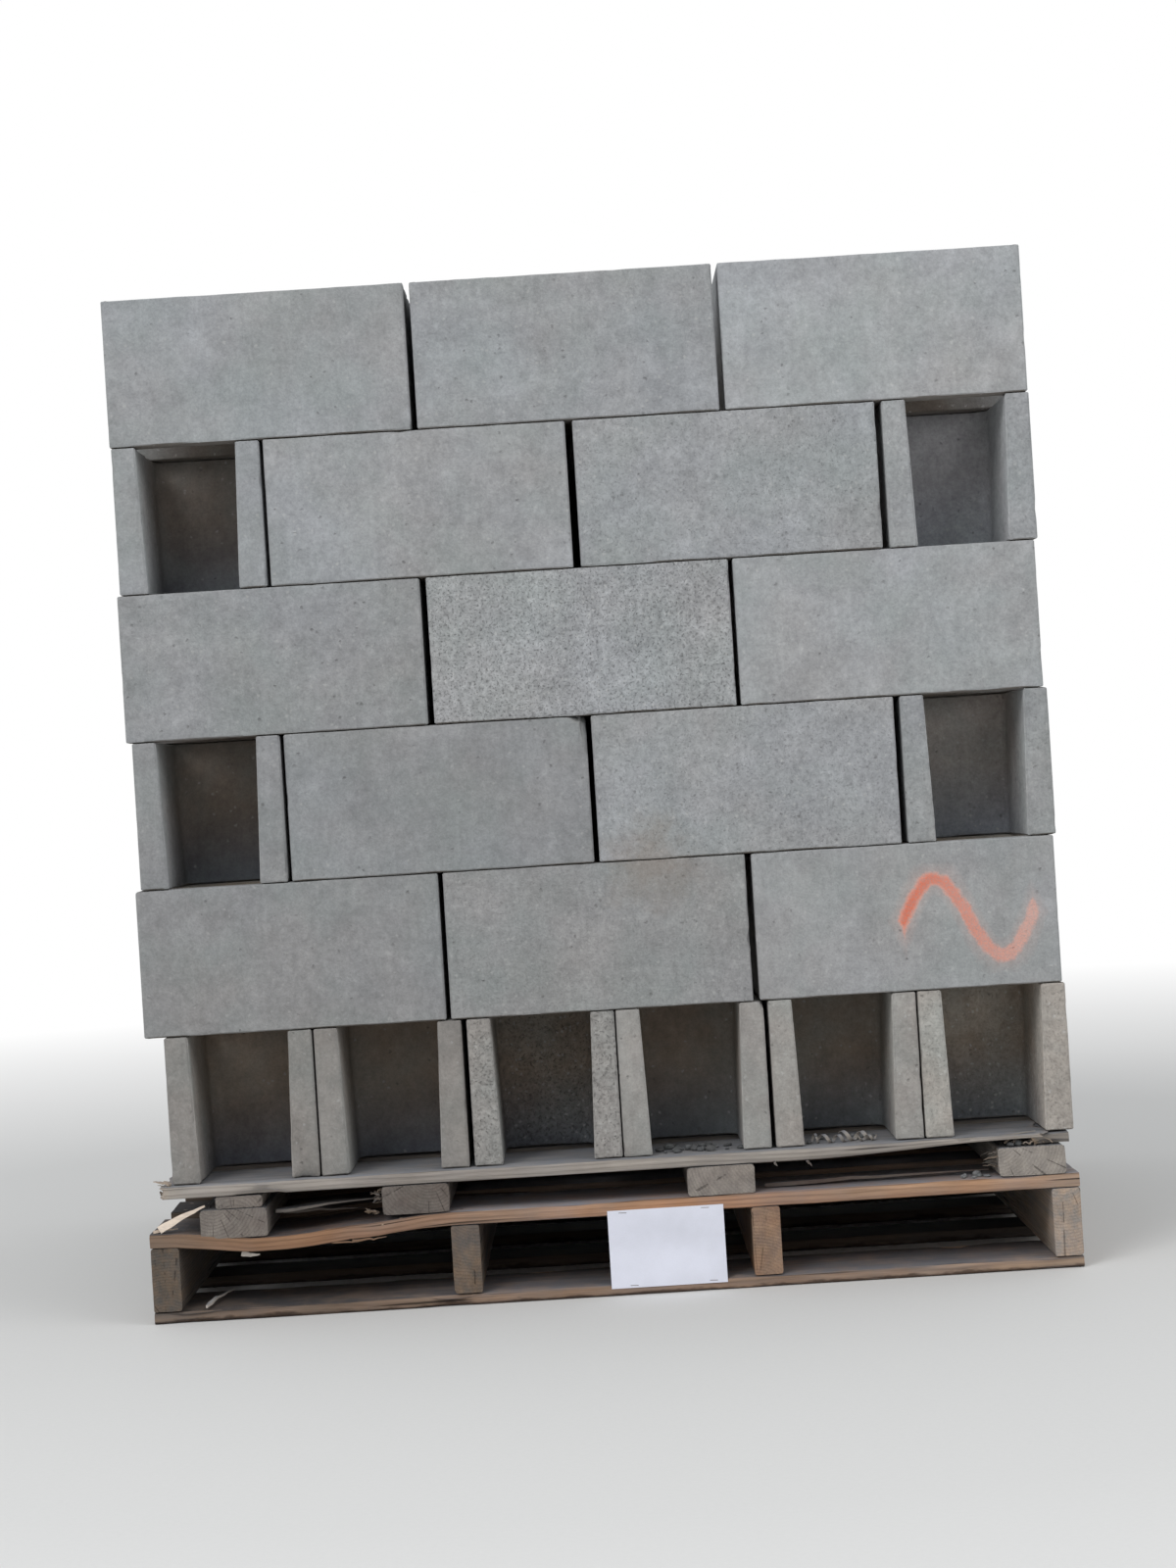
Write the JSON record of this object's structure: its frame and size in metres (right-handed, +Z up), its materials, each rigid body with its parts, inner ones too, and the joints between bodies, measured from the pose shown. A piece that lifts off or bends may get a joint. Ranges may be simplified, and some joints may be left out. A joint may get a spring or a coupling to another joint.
{
  "type": "pallet of concrete blocks",
  "caption": "Open-ended hollow concrete blocks stacked dry in interlocking layers on a crushed timber pallet, which lies on a sound one with a blank card on its front.",
  "frame": {"origin": "middle of the sound pallet's footprint on the floor", "axes": "+X right along the front, +Y from the front to the back, +Z up"},
  "size_m": [1.219, 1.0165, 1.343],
  "materials": {
    "concrete": "matte",
    "pallet_wood": "matte",
    "weathered_wood": "matte",
    "white_card": "matte"
  },
  "bodies": {
    "root": {"block_layer_1": "concrete", "block_layer_2": "concrete", "block_layer_3": "concrete", "block_layer_4": "concrete", "block_layer_5": "concrete", "block_layer_6": "concrete", "bottom_board_1": "pallet_wood", "bottom_board_2": "pallet_wood", "bottom_board_3": "pallet_wood", "bottom_board_4": "pallet_wood", "bottom_board_5": "pallet_wood", "crushed_board_1": "weathered_wood", "crushed_board_2": "weathered_wood", "crushed_board_3": "weathered_wood", "crushed_board_4": "weathered_wood", "crushed_board_5": "weathered_wood", "crushed_board_6": "weathered_wood", "crushed_board_7": "weathered_wood", "crushed_runner_1": "weathered_wood", "crushed_runner_2": "weathered_wood", "crushed_runner_3": "weathered_wood", "crushed_runner_4": "weathered_wood", "index_card": "white_card", "stringer_1": "pallet_wood", "stringer_2": "pallet_wood", "stringer_3": "pallet_wood", "stringer_4": "pallet_wood", "top_board_1": "pallet_wood", "top_board_2": "pallet_wood", "top_board_3": "pallet_wood", "top_board_4": "pallet_wood", "top_board_5": "pallet_wood", "top_board_6": "pallet_wood", "top_board_7": "pallet_wood"}
  },
  "joints": []
}
